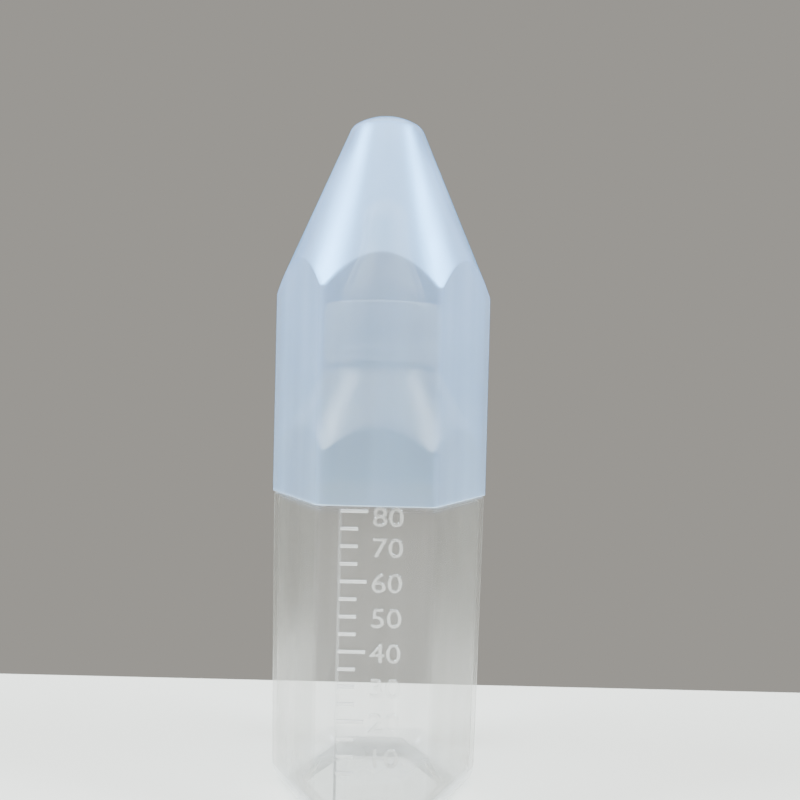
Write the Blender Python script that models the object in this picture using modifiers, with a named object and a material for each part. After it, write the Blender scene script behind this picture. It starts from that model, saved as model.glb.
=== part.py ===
"""Small hexagonal feeding bottle: blown body, screw collar, silicone teat and push-on cap.

Metres, +Z up. The origin is at the centre of the base, and the filling scale faces -Y.
"""

import math

import bmesh
import bpy
from mathutils import Matrix, Vector

MM = 0.001

# Body: a six-sided bottle, stepped in at the ledge for the cap's skirt
BODY_FLATS = 42.3 * MM  # across flats, just below the ledge
BODY_DRAFT = 0.7 * MM  # each flat draws in by this much from the ledge to the base
LEDGE_HEIGHT = 67.2 * MM
BODY_WALL = 0.9 * MM
FLOOR_WALL = 1.0 * MM
EDGE_RADIUS = 1.5 * MM
FOOT_RADIUS = 4.5 * MM
STANDING_RING = 3.0 * MM  # width of the flat that the bottle stands on
PUSH_UP_DEPTH = 5.0 * MM
PUSH_UP_DRAFT = 2.0 * MM
SKIRT_LAP = 11.0 * MM  # ledge to the corners of the shoulder
SHOULDER_ANGLE = math.radians(30.0)  # between the shoulder's cone and the axis

# Neck and its thread
NECK_RADIUS = 10.7 * MM  # at the root of the thread
NECK_WALL = 1.2 * MM
NECK_HEIGHT = 10.0 * MM  # bead to rim
BEAD_HEIGHT = 1.5 * MM
THROAT_DROP = 1.5 * MM
THREAD_PITCH = 3.0 * MM
THREAD_DEPTH = 1.0 * MM
THREAD_ROOT_WIDTH = 1.6 * MM
THREAD_CREST_WIDTH = 0.8 * MM
NECK_THREAD_TURNS = 1.5
COLLAR_THREAD_TURNS = 1.0
COLLAR_THREAD_LEAD = 0.25  # turns that the collar's thread starts after the neck's

# Scale on the front flat
FIRST_MARK_HEIGHT = 11.85 * MM
FIRST_MARK_ML = 5
LAST_MARK_ML = 80
MARK_STEP_ML = 5
LONG_MARK_ML = 20
RIB_OFFSET = 7.35 * MM
RIB_WIDTH = 0.6 * MM
RIB_RAISE = 0.24 * MM
RIB_CLEARANCE = 1.4 * MM  # from the foot's rounding to the rib's lower end
MARK_RAISE = 0.2 * MM
MARK_WIDTH = 0.7 * MM
SHORT_MARK_LENGTH = 3.7 * MM
LONG_MARK_LENGTH = 5.7 * MM

# Screw collar
COLLAR_WALL = 1.0 * MM
COLLAR_PLATE = 1.2 * MM
COLLAR_CHAMFER = 0.6 * MM
FLUTE_COUNT = 48
FLUTE_DEPTH = 0.35 * MM

# Teat
TEAT_INSET = 1.1 * MM  # the bell is this much smaller than the neck's thread root
TEAT_HEIGHT = 25.5 * MM  # flange to tip
TEAT_FLANGE = 1.5 * MM
TEAT_WALL = 1.3 * MM
TEAT_PLUG_DEPTH = 1.6 * MM
NIPPLE_RADIUS = 5.2 * MM
NIPPLE_LENGTH = 8.9 * MM  # tip to the top of the bell
FEED_HOLE_RADIUS = 0.6 * MM

# Push-on cap
CAP_PROUD = 0.25 * MM  # the skirt stands this far proud of the body's flats
CAP_WALL = 1.0 * MM
CAP_SKIRT = 44.4 * MM  # rim to the corners of the cone
CAP_CONE_HEIGHT = 41.2 * MM
CAP_TIP_RADIUS = 7.0 * MM  # of the cone, where it would meet the top
CAP_CROWN_RADIUS = 14.0 * MM
CAP_TIP_FILLET = 3.0 * MM

# Fits and fineness
FIT_GAP = 0.3 * MM
OVERLAP = 0.3 * MM  # how far a joined solid is sunk into the one that carries it
CLEAR = 10.0 * MM  # how far a cutter runs past what it cuts
SAME_HEIGHT = 0.03 * MM  # points nearer in height than this are level
SAME_AZIMUTH = math.radians(0.5)
SMOOTH_ANGLE = math.radians(35.0)
ROUND_STEPS = 48
EDGE_STEPS = 3
ARC_STEPS = 4
BELL_STEPS = 8

# Worked out from the sizes above
COS_30 = math.cos(math.radians(30.0))
TAN_30 = math.tan(math.radians(30.0))
BODY_APOTHEM = BODY_FLATS / 2
BASE_APOTHEM = BODY_APOTHEM - BODY_DRAFT
INNER_EDGE_RADIUS = EDGE_RADIUS - BODY_WALL / 2
PUSH_UP_APOTHEM = BASE_APOTHEM - FOOT_RADIUS - STANDING_RING
CAP_APOTHEM = BODY_APOTHEM + CAP_PROUD
LAP_APOTHEM = CAP_APOTHEM - CAP_WALL - FIT_GAP
LAP_CORNER = LAP_APOTHEM / COS_30
SHOULDER_CORNER_HEIGHT = LEDGE_HEIGHT + SKIRT_LAP
SHOULDER_SLOPE = math.tan(SHOULDER_ANGLE)
BORE_RADIUS = NECK_RADIUS - NECK_WALL
COLLAR_BORE_RADIUS = NECK_RADIUS + THREAD_DEPTH + FIT_GAP
COLLAR_RADIUS = COLLAR_BORE_RADIUS + COLLAR_WALL
BEAD_BOTTOM = SHOULDER_CORNER_HEIGHT + (LAP_CORNER - COLLAR_RADIUS) / SHOULDER_SLOPE
BEAD_TOP = BEAD_BOTTOM + BEAD_HEIGHT
RIM_HEIGHT = BEAD_TOP + NECK_HEIGHT
THREAD_START = BEAD_TOP + (NECK_HEIGHT - NECK_THREAD_TURNS * THREAD_PITCH) / 2
COLLAR_BOTTOM = BEAD_TOP + FIT_GAP
COLLAR_CEILING = RIM_HEIGHT + FIT_GAP + TEAT_FLANGE + FIT_GAP
COLLAR_TOP = COLLAR_CEILING + COLLAR_PLATE
TEAT_RADIUS = NECK_RADIUS - TEAT_INSET
TEAT_SEAT = RIM_HEIGHT + FIT_GAP
CAP_RIM = LEDGE_HEIGHT + FIT_GAP


def clear_scene():
    """Remove every object that the scene starts with."""
    for thing in list(bpy.data.objects):
        bpy.data.objects.remove(thing, do_unlink=True)


def new_collection(name):
    """Add a collection to the scene."""
    collection = bpy.data.collections.new(name)
    bpy.context.scene.collection.children.link(collection)
    return collection


def plastic(name, colour, roughness, alpha):
    """Make a see-through moulded plastic or rubber."""
    material = bpy.data.materials.new(name)
    material.use_nodes = True
    shader = material.node_tree.nodes["Principled BSDF"]
    shader.inputs["Base Color"].default_value = (*colour, 1.0)
    shader.inputs["Roughness"].default_value = roughness
    shader.inputs["Metallic"].default_value = 0.0
    shader.inputs["Alpha"].default_value = alpha
    return material


def place(name, mesh, height, collection):
    """Put a mesh in a collection as an object whose origin is on the axis at a height."""
    thing = bpy.data.objects.new(name, mesh)
    thing.location.z = height
    collection.objects.link(thing)
    return thing


def place_cutter(name, mesh, height):
    """Put a mesh among the cutters, which are only drawn as wires."""
    thing = place(name, mesh, height, CUTTERS)
    thing.hide_render = True
    thing.display_type = "WIRE"
    return thing


def finish_mesh(bm, name):
    """Turn a bmesh into a smooth-shaded mesh that keeps its sharp edges."""
    bmesh.ops.recalc_face_normals(bm, faces=bm.faces)
    mesh = bpy.data.meshes.new(name)
    bm.to_mesh(mesh)
    bm.free()
    mesh.shade_smooth()
    mesh.set_sharp_from_angle(angle=SMOOTH_ANGLE)
    return mesh


def round_edges(bm, edges, offset, steps):
    """Round some edges of a bmesh."""
    bmesh.ops.bevel(
        bm,
        geom=edges,
        offset=offset,
        offset_type="OFFSET",
        segments=steps,
        profile=0.5,
        affect="EDGES",
        clamp_overlap=True,
    )


def runs_up_corner(edge):
    """Say whether an edge climbs while it stays in one upright plane through the axis."""
    low, high = edge.verts
    if abs(low.co.z - high.co.z) < SAME_HEIGHT:
        return False
    return low.co.xy.angle(high.co.xy) < SAME_AZIMUTH


def hex_prism(name, low_apothem, high_apothem, low, high, edge_radius, foot_radius=0.0):
    """Make a six-sided prism with corners on X, flats across Y, and rounded edges."""
    bm = bmesh.new()
    bmesh.ops.create_cone(
        bm,
        cap_ends=True,
        segments=6,
        radius1=low_apothem / COS_30,
        radius2=high_apothem / COS_30,
        depth=high - low,
        matrix=Matrix.Translation((0, 0, (low + high) / 2)) @ Matrix.Rotation(math.pi / 2, 4, "Z"),
    )
    if foot_radius > 0:
        foot = [e for e in bm.edges if all(abs(v.co.z - low) < SAME_HEIGHT for v in e.verts)]
        round_edges(bm, foot, foot_radius, ARC_STEPS)
    corners = [e for e in bm.edges if runs_up_corner(e)]
    round_edges(bm, corners, edge_radius * TAN_30, EDGE_STEPS)
    return finish_mesh(bm, name)


def turned(name, profile, height, collection, closed=False):
    """Turn a profile of (radius, height) points, given down its outer side, about the axis."""
    mesh = bpy.data.meshes.new(name)
    links = [(i, i + 1) for i in range(len(profile) - 1)]
    if closed:
        links.append((len(profile) - 1, 0))
    mesh.from_pydata([(r, 0.0, z) for r, z in profile], links, [])
    thing = place(name, mesh, height, collection)
    screw = thing.modifiers.new("turn", "SCREW")
    screw.axis = "Z"
    screw.angle = 2 * math.pi
    screw.steps = ROUND_STEPS
    screw.render_steps = ROUND_STEPS
    screw.use_merge_vertices = True
    screw.merge_threshold = 0.00001
    screw.use_smooth_shade = True
    return thing


def turned_cutter(name, profile, height):
    """Turn a solid that only cuts or trims another."""
    thing = turned(name, profile, height, CUTTERS)
    thing.hide_render = True
    thing.display_type = "WIRE"
    return thing


def combine(target, operation, tool):
    """Join, cut or trim the target with another solid."""
    boolean = target.modifiers.new(f"{operation.lower()} {tool.name}", "BOOLEAN")
    boolean.operation = operation
    boolean.solver = "EXACT"
    boolean.object = tool


def thread_ridge(name, root_radius, crest_radius, turns, start_turn, start_height, origin):
    """Sweep a trapezoid round the axis and up it, which leaves one solid with closed ends."""
    outward = 1 if crest_radius > root_radius else -1
    sunk = root_radius - outward * OVERLAP
    flank = (THREAD_ROOT_WIDTH - THREAD_CREST_WIDTH) / (2 * THREAD_DEPTH)
    sunk_half = THREAD_ROOT_WIDTH / 2 + OVERLAP * flank
    bm = bmesh.new()
    section = [
        (sunk, -sunk_half),
        (crest_radius, -THREAD_CREST_WIDTH / 2),
        (crest_radius, THREAD_CREST_WIDTH / 2),
        (sunk, sunk_half),
    ]
    turn = Matrix.Rotation(2 * math.pi * start_turn, 4, "Z")
    lift = Matrix.Translation((0, 0, start_height - origin))
    corners = [bm.verts.new(turn @ lift @ Vector((r, 0, z))) for r, z in section]
    face = bm.faces.new(corners)
    steps = round(ROUND_STEPS * turns)
    bmesh.ops.spin(
        bm,
        geom=[face, *face.edges, *face.verts],
        cent=(0, 0, 0),
        axis=(0, 0, 1),
        dvec=(0, 0, THREAD_PITCH * turns / steps),
        angle=2 * math.pi * turns,
        steps=steps,
    )
    return place_cutter(name, finish_mesh(bm, name), origin)


def arc(centre, radius, start, end, steps):
    """List points along an arc, with angles from +X in the profile's plane."""
    angles = [start + (end - start) * i / steps for i in range(steps + 1)]
    return [(centre[0] + radius * math.cos(a), centre[1] + radius * math.sin(a)) for a in angles]


def fill_step():
    """Give the rise of the liquid for one mark, from the hexagon of the bore at mid-height."""
    apothem = (BODY_APOTHEM + BASE_APOTHEM) / 2 - BODY_WALL
    area = 2 * math.sqrt(3) * apothem**2
    return MARK_STEP_ML * 1e-6 / area


def mark_block(bm, facet, left, width, middle, height, raise_by):
    """Add one raised block of the scale to a bmesh, in the plane of the front flat."""
    depth = raise_by + OVERLAP
    centre = Matrix.Translation((left + width / 2, -raise_by + depth / 2, middle))
    bmesh.ops.create_cube(bm, size=1.0, matrix=facet @ centre @ Matrix.Diagonal((width, depth, height, 1)))


def add_scale(bottle):
    """Raise the scale's long rib on the front flat, and its marks as far as there is room."""
    lean = math.atan(BODY_DRAFT / LEDGE_HEIGHT)
    facet = Matrix.Translation((0, -BASE_APOTHEM, 0)) @ Matrix.Rotation(lean, 4, "X")
    step = fill_step()
    room = LEDGE_HEIGHT - MARK_WIDTH / 2 - FIRST_MARK_HEIGHT
    count = min((LAST_MARK_ML - FIRST_MARK_ML) // MARK_STEP_ML, int(room / step)) + 1
    top = FIRST_MARK_HEIGHT + (count - 1) * step

    bm = bmesh.new()
    rib_bottom = FOOT_RADIUS + RIB_CLEARANCE
    rib_top = top + MARK_WIDTH / 2
    left = -RIB_OFFSET - RIB_WIDTH / 2
    mark_block(bm, facet, left, RIB_WIDTH, (rib_bottom + rib_top) / 2, rib_top - rib_bottom, RIB_RAISE)
    combine(bottle, "UNION", place_cutter("scale_rib", finish_mesh(bm, "scale_rib"), 0))

    bm = bmesh.new()
    for i in range(count):
        volume = FIRST_MARK_ML + i * MARK_STEP_ML
        length = LONG_MARK_LENGTH if volume % LONG_MARK_ML == 0 else SHORT_MARK_LENGTH
        middle = FIRST_MARK_HEIGHT + i * step
        mark_block(bm, facet, -RIB_OFFSET, length, middle, MARK_WIDTH, MARK_RAISE)
    combine(bottle, "UNION", place_cutter("scale_marks", finish_mesh(bm, "scale_marks"), 0))


def cone_radius(height, inset):
    """Give the radius of the shoulder's cone at a height."""
    return LAP_CORNER - inset - (height - SHOULDER_CORNER_HEIGHT) * SHOULDER_SLOPE


def shoulder_profile(inset, neck, bottom):
    """Give a profile from the neck down the cone of the shoulder, then straight to the bottom."""
    low = SHOULDER_CORNER_HEIGHT - CLEAR
    low_radius = cone_radius(low, inset)
    return [*neck, (low_radius, low), (low_radius, bottom), (0, bottom)]


def make_cavity():
    """Make the space inside the bottle: the body, the stepped-in part, the shoulder and the neck."""
    ceiling = LEDGE_HEIGHT - BODY_WALL
    lean = BODY_DRAFT / LEDGE_HEIGHT
    body = hex_prism(
        "body_space",
        BASE_APOTHEM - BODY_WALL + lean * FLOOR_WALL,
        BASE_APOTHEM - BODY_WALL + lean * ceiling,
        FLOOR_WALL,
        ceiling,
        INNER_EDGE_RADIUS,
        FOOT_RADIUS - BODY_WALL,
    )
    cavity = place_cutter("body_space", body, 0)

    top = RIM_HEIGHT + CLEAR
    apothem = LAP_APOTHEM - BODY_WALL
    lap = hex_prism("lap_space", apothem, apothem, ceiling - CLEAR, top, INNER_EDGE_RADIUS)
    lap_space = place_cutter("lap_space", lap, 0)
    inset = BODY_WALL / math.cos(SHOULDER_ANGLE)
    throat = BEAD_BOTTOM - THROAT_DROP
    bore = [(0, top), (BORE_RADIUS, top), (BORE_RADIUS, BEAD_BOTTOM), (cone_radius(throat, inset), throat)]
    outline = shoulder_profile(inset, bore, ceiling - 2 * CLEAR)
    combine(lap_space, "INTERSECT", turned_cutter("bore", outline, 0))
    combine(cavity, "UNION", lap_space)

    raised = hex_prism(
        "raised_floor",
        PUSH_UP_APOTHEM + BODY_WALL,
        PUSH_UP_APOTHEM + BODY_WALL - PUSH_UP_DRAFT,
        0,
        PUSH_UP_DEPTH + FLOOR_WALL,
        EDGE_RADIUS,
    )
    combine(cavity, "DIFFERENCE", place_cutter("raised_floor", raised, 0))
    return cavity


def make_bottle(material):
    """Make the bottle: six-sided body, lap for the cap, conical shoulder, bead and threaded neck."""
    body = hex_prism("bottle", BASE_APOTHEM, BODY_APOTHEM, 0, LEDGE_HEIGHT, EDGE_RADIUS, FOOT_RADIUS)
    bottle = place("bottle", body, 0, PARTS)
    bottle.data.materials.append(material)

    low = LEDGE_HEIGHT - BODY_WALL / 2
    lap = hex_prism("lap", LAP_APOTHEM, LAP_APOTHEM, low, RIM_HEIGHT + CLEAR, EDGE_RADIUS)
    upper = place_cutter("lap", lap, 0)
    neck = [
        (0, RIM_HEIGHT),
        (NECK_RADIUS, RIM_HEIGHT),
        (NECK_RADIUS, BEAD_TOP),
        (COLLAR_RADIUS, BEAD_TOP),
        (COLLAR_RADIUS, BEAD_BOTTOM),
    ]
    outline = shoulder_profile(0, neck, LEDGE_HEIGHT - CLEAR)
    combine(upper, "INTERSECT", turned_cutter("shoulder", outline, 0))
    combine(bottle, "UNION", upper)
    combine(bottle, "DIFFERENCE", make_cavity())

    recess = hex_prism(
        "push_up",
        PUSH_UP_APOTHEM + PUSH_UP_DRAFT,
        PUSH_UP_APOTHEM - PUSH_UP_DRAFT,
        -PUSH_UP_DEPTH,
        PUSH_UP_DEPTH,
        INNER_EDGE_RADIUS,
    )
    combine(bottle, "DIFFERENCE", place_cutter("push_up", recess, 0))
    crest = NECK_RADIUS + THREAD_DEPTH
    ridge = thread_ridge("neck_thread", NECK_RADIUS, crest, NECK_THREAD_TURNS, 0, THREAD_START, 0)
    combine(bottle, "UNION", ridge)
    add_scale(bottle)
    return bottle


def fluted_ring(height):
    """Make the collar's outside: a drum of shallow flutes that draws in at its top edge."""
    bm = bmesh.new()
    wall = height - COLLAR_CHAMFER
    bmesh.ops.create_cone(
        bm,
        cap_ends=True,
        segments=2 * FLUTE_COUNT,
        radius1=COLLAR_RADIUS,
        radius2=COLLAR_RADIUS,
        depth=wall,
        matrix=Matrix.Translation((0, 0, wall / 2)),
    )
    for vert in bm.verts:
        flute = round(math.atan2(vert.co.y, vert.co.x) / (math.pi / FLUTE_COUNT))
        if flute % 2 == 0:
            vert.co.xy *= 1 + FLUTE_DEPTH / COLLAR_RADIUS
    top = [f for f in bm.faces if f.calc_center_median().z > wall - SAME_HEIGHT]
    raised = bmesh.ops.extrude_face_region(bm, geom=top)["geom"]
    bmesh.ops.delete(bm, geom=top, context="FACES_ONLY")
    for vert in [v for v in raised if isinstance(v, bmesh.types.BMVert)]:
        vert.co.xy *= 1 - COLLAR_CHAMFER / COLLAR_RADIUS
        vert.co.z = height
    return finish_mesh(bm, "screw_collar")


def make_collar(material):
    """Make the screw collar: a fluted ring, threaded inside, whose plate holds the teat down."""
    height = COLLAR_TOP - COLLAR_BOTTOM
    collar = place("screw_collar", fluted_ring(height), COLLAR_BOTTOM, PARTS)
    collar.data.materials.append(material)

    ceiling = COLLAR_CEILING - COLLAR_BOTTOM
    hole_radius = TEAT_RADIUS + FIT_GAP
    bore = [
        (0, height + CLEAR),
        (hole_radius, height + CLEAR),
        (hole_radius, ceiling),
        (COLLAR_BORE_RADIUS, ceiling),
        (COLLAR_BORE_RADIUS, -CLEAR),
        (0, -CLEAR),
    ]
    combine(collar, "DIFFERENCE", turned_cutter("collar_bore", bore, COLLAR_BOTTOM))
    # Half a pitch lower than the neck's thread, so that each runs in the other's groove
    start = THREAD_START + (COLLAR_THREAD_LEAD - 0.5) * THREAD_PITCH
    ridge = thread_ridge(
        "collar_thread",
        COLLAR_BORE_RADIUS,
        COLLAR_BORE_RADIUS - THREAD_DEPTH,
        COLLAR_THREAD_TURNS,
        COLLAR_THREAD_LEAD,
        start,
        COLLAR_BOTTOM,
    )
    combine(collar, "UNION", ridge)
    return collar


def bell_curve(start, end, steps):
    """List points on a smooth S between two (radius, height) points that both run upright."""
    points = []
    for i in range(steps + 1):
        t = i / steps
        blend = t * t * (3 - 2 * t)
        points.append((start[0] + (end[0] - start[0]) * blend, start[1] + (end[1] - start[1]) * t))
    return points


def make_teat(material):
    """Make the hollow teat: plug, flange, bell and nipple, with a feed hole at the tip."""
    flange_radius = COLLAR_BORE_RADIUS - FIT_GAP
    plug_radius = BORE_RADIUS - FIT_GAP
    tip = TEAT_FLANGE + TEAT_HEIGHT
    tip_centre = tip - NIPPLE_RADIUS
    bell_bottom = TEAT_FLANGE + COLLAR_PLATE + 2 * FIT_GAP
    bell_top = tip - NIPPLE_LENGTH
    hole_angle = math.acos(FEED_HOLE_RADIUS / NIPPLE_RADIUS)
    inner_tip = NIPPLE_RADIUS - TEAT_WALL
    inner_hole_angle = math.acos(FEED_HOLE_RADIUS / inner_tip)
    outside = [
        *reversed(arc((0, tip_centre), NIPPLE_RADIUS, 0, hole_angle, ARC_STEPS)),
        *bell_curve((NIPPLE_RADIUS, bell_top), (TEAT_RADIUS, bell_bottom), BELL_STEPS),
        (TEAT_RADIUS, TEAT_FLANGE),
        (flange_radius, TEAT_FLANGE),
        (flange_radius, 0),
        (plug_radius, 0),
        (plug_radius, -TEAT_PLUG_DEPTH),
    ]
    inner_radius = min(plug_radius, TEAT_RADIUS) - TEAT_WALL
    inside = [
        (inner_radius, -TEAT_PLUG_DEPTH),
        *bell_curve((inner_radius, bell_bottom), (inner_tip, bell_top), BELL_STEPS),
        *arc((0, tip_centre), inner_tip, 0, inner_hole_angle, ARC_STEPS),
    ]
    teat = turned("teat", [*outside, *inside], TEAT_SEAT, PARTS, closed=True)
    teat.data.materials.append(material)
    return teat


def crowned_cone(inset):
    """Give the cap's profile: a gently crowned tip, a fillet, and the cone down past the skirt."""
    corner = Vector((CAP_APOTHEM / COS_30, CAP_SKIRT))
    tip = Vector((CAP_TIP_RADIUS, CAP_SKIRT + CAP_CONE_HEIGHT))
    down = (corner - tip).normalized()
    outward = Vector((-down.y, down.x))
    angle = math.atan2(outward.y, outward.x)
    crown_centre = Vector((0, tip.y - CAP_CROWN_RADIUS))

    # The fillet touches the cone, and touches the crown from within
    start = tip - crown_centre - CAP_TIP_FILLET * outward
    along = start.dot(down)
    reach = CAP_CROWN_RADIUS - CAP_TIP_FILLET
    slide = -along - math.sqrt(along**2 - start.length_squared + reach**2)
    fillet_centre = crown_centre + start + slide * down
    join = math.atan2(fillet_centre.y - crown_centre.y, fillet_centre.x)
    crown = arc(crown_centre, CAP_CROWN_RADIUS - inset, math.pi / 2, join, ARC_STEPS)
    fillet = arc(fillet_centre, CAP_TIP_FILLET - inset, join, angle, ARC_STEPS)

    pole = (0, crown[0][1])
    low = CAP_SKIRT - CLEAR
    low_radius = corner.x - inset / math.cos(angle) + CLEAR * math.tan(angle)
    return [pole, *crown[1:], *fillet[1:], (low_radius, low), (low_radius, -CLEAR), (0, -CLEAR)]


def make_cap(material):
    """Make the push-on cap: a six-sided skirt that runs into a round cone."""
    top = CAP_SKIRT + CAP_CONE_HEIGHT + CLEAR
    outside = hex_prism("cap", CAP_APOTHEM, CAP_APOTHEM, 0, top, EDGE_RADIUS)
    cap = place("cap", outside, CAP_RIM, PARTS)
    cap.data.materials.append(material)
    combine(cap, "INTERSECT", turned_cutter("cap_cone", crowned_cone(0), CAP_RIM))

    apothem = CAP_APOTHEM - CAP_WALL
    inside = hex_prism("cap_space", apothem, apothem, -CLEAR / 2, top, EDGE_RADIUS - CAP_WALL / 2)
    space = place_cutter("cap_space", inside, CAP_RIM)
    combine(space, "INTERSECT", turned_cutter("cap_space_cone", crowned_cone(CAP_WALL), CAP_RIM))
    combine(cap, "DIFFERENCE", space)
    return cap


clear_scene()
PARTS = new_collection("feeding_bottle")
CUTTERS = new_collection("cutters")
make_bottle(plastic("body_plastic", (0.80, 0.81, 0.78), 0.35, 0.45))
make_collar(plastic("collar_plastic", (0.86, 0.88, 0.90), 0.40, 0.8))
make_teat(plastic("teat_silicone", (0.88, 0.84, 0.74), 0.45, 0.85))
make_cap(plastic("cap_plastic", (0.72, 0.80, 0.90), 0.35, 0.55))
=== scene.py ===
"""Looks of a small six-sided feeding bottle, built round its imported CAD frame.

Metres, +Z up, in the frame's own axes: the bottle stands on z = 0 and its filling scale faces -Y.
"""

import logging
import math
from abc import ABC, abstractmethod
from collections.abc import Callable, Iterator
from contextlib import contextmanager
from dataclasses import dataclass, field
from enum import Enum
from typing import ClassVar

import bmesh
import bpy
import numpy as np
from mathutils import Matrix, Vector


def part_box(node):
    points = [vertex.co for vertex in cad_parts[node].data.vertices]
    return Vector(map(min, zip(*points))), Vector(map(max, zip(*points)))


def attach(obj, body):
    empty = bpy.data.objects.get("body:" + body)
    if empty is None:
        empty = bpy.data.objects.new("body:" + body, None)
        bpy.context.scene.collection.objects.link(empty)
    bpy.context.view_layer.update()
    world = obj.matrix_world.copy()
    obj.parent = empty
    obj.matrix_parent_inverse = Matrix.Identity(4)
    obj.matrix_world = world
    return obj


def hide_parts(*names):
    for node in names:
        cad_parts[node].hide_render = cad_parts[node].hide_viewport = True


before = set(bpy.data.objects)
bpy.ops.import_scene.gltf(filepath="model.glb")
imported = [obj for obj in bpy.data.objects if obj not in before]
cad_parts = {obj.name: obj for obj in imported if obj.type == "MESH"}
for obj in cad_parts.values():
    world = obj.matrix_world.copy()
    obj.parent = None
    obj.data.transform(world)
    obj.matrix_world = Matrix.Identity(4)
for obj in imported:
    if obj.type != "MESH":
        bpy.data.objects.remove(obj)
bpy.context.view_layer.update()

MM = 0.001
SIDES = 6
HALF_SIDE = math.pi / SIDES  # half of the angle that one side of the outline spans
WALL_ANGLE = 32.0  # moulded walls stay sharp where they turn by more degrees than this
EDGE_ANGLE = 40.0  # the same for small pieces with bevelled edges
MERGE = 0.002 * MM
FINE_MERGE = 0.001 * MM
LOG = logging.getLogger("feeding_bottle")

Node = bpy.types.Node
Socket = bpy.types.NodeSocket
Piece = bpy.types.Object
Profile = list[tuple[float, float]]
Ring = np.ndarray


class Slot(Enum):
    """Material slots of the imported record."""

    BODY = "body_plastic"
    COLLAR = "collar_plastic"
    TEAT = "teat_silicone"
    CAP = "cap_plastic"


class Body(Enum):
    """Bodies of the frame that pieces ride on."""

    BOTTLE = "bottle"
    CAP = "cap"
    TEAT = "teat"
    COLLAR = "collar"


# ---------------------------------------------------------------------------------------------
# Modelling helpers
# ---------------------------------------------------------------------------------------------


def deselect_all() -> None:
    """Leave nothing selected, in object mode."""
    if bpy.context.object and bpy.context.object.mode != "OBJECT":
        bpy.ops.object.mode_set(mode="OBJECT")
    bpy.ops.object.select_all(action="DESELECT")


def pick(*pieces: Piece) -> None:
    """Select these pieces alone and make the first one active.

    Args:
        pieces: The objects to select.
    """
    deselect_all()
    for piece in pieces:
        piece.select_set(True)
    bpy.context.view_layer.objects.active = pieces[0]


@contextmanager
def editing(piece: Piece, mode: str = "FACE") -> Iterator[None]:
    """Open one piece in edit mode with nothing selected, and close it afterwards.

    Args:
        piece: The object to edit.
        mode: Select mode, VERT, EDGE or FACE.
    """
    pick(piece)
    bpy.ops.object.mode_set(mode="EDIT")
    bpy.ops.mesh.select_mode(type=mode)
    bpy.ops.mesh.select_all(action="DESELECT")
    yield
    bpy.ops.object.mode_set(mode="OBJECT")


def select_faces(piece: Piece, wanted: Callable[[bmesh.types.BMFace], bool]) -> None:
    """Select the faces that pass a test, in a piece that is open in edit mode.

    Args:
        piece: The open object.
        wanted: The test.
    """
    mesh = bmesh.from_edit_mesh(piece.data)
    bpy.ops.mesh.select_all(action="DESELECT")
    for face in filter(wanted, mesh.faces):
        face.select_set(True)
    bmesh.update_edit_mesh(piece.data)


def select_edges(piece: Piece, wanted: Callable[[bmesh.types.BMEdge], bool]) -> None:
    """Select the edges that pass a test, in a piece that is open in edit mode.

    Args:
        piece: The open object.
        wanted: The test.
    """
    mesh = bmesh.from_edit_mesh(piece.data)
    bpy.ops.mesh.select_all(action="DESELECT")
    for edge in filter(wanted, mesh.edges):
        edge.select_set(True)
    bmesh.update_edit_mesh(piece.data)


def close_shell(piece: Piece, merge: float = MERGE) -> None:
    """Merge the seams and poles of a shell and turn its faces outwards.

    Args:
        piece: The shell.
        merge: Points nearer than this become one.
    """
    with editing(piece, "VERT"):
        bpy.ops.mesh.select_all(action="SELECT")
        bpy.ops.mesh.remove_doubles(threshold=merge)
        bpy.ops.mesh.delete_loose()
        bpy.ops.mesh.select_all(action="SELECT")
        bpy.ops.mesh.normals_make_consistent(inside=False)


def join(name: str, pieces: list[Piece]) -> Piece:
    """Join pieces into one object.

    Args:
        name: Name of the result.
        pieces: Two or more pieces.

    Returns:
        The joined piece.
    """
    pick(*pieces)
    bpy.ops.object.join()
    joined = bpy.context.active_object
    joined.name = name
    joined.data.name = name
    return joined


def settle(piece: Piece, angle: float = WALL_ANGLE) -> None:
    """Apply a piece's place and shade it smooth, apart from its real edges.

    Args:
        piece: The finished piece.
        angle: Edges sharper than this, in degrees, stay sharp.
    """
    pick(piece)
    bpy.ops.object.transform_apply(location=True, rotation=True, scale=True)
    bpy.ops.object.shade_smooth_by_angle(angle=math.radians(angle))


def arc(centre: tuple[float, float], radius: float, start: float, end: float, steps: int) -> Profile:
    """List points along an arc of a profile.

    Args:
        centre: Radius and height of the arc's centre.
        radius: The arc's radius.
        start: First angle from +radius, in degrees.
        end: Last angle, in degrees.
        steps: Number of chords.

    Returns:
        Points of radius and height.
    """
    angles = np.radians(np.linspace(start, end, steps + 1))
    return [(centre[0] + radius * math.cos(a), centre[1] + radius * math.sin(a)) for a in angles]


def rolled_sheet(name: str, rings: list[Ring]) -> Piece:
    """Roll a grid into a tube that passes through rings of points.

    Args:
        name: Name of the sheet.
        rings: One array of points for each row of the grid, all of the same length.

    Returns:
        The sheet, with its seam still open.
    """
    deselect_all()
    columns = len(rings[0])
    bpy.ops.mesh.primitive_grid_add(x_subdivisions=columns, y_subdivisions=len(rings) - 1, size=1.0)
    sheet = bpy.context.active_object
    points = np.stack([np.vstack([ring, ring[:1]]) for ring in rings])
    sheet.data.vertices.foreach_set("co", points.astype(np.float32).ravel())
    sheet.name = name
    return sheet


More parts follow.
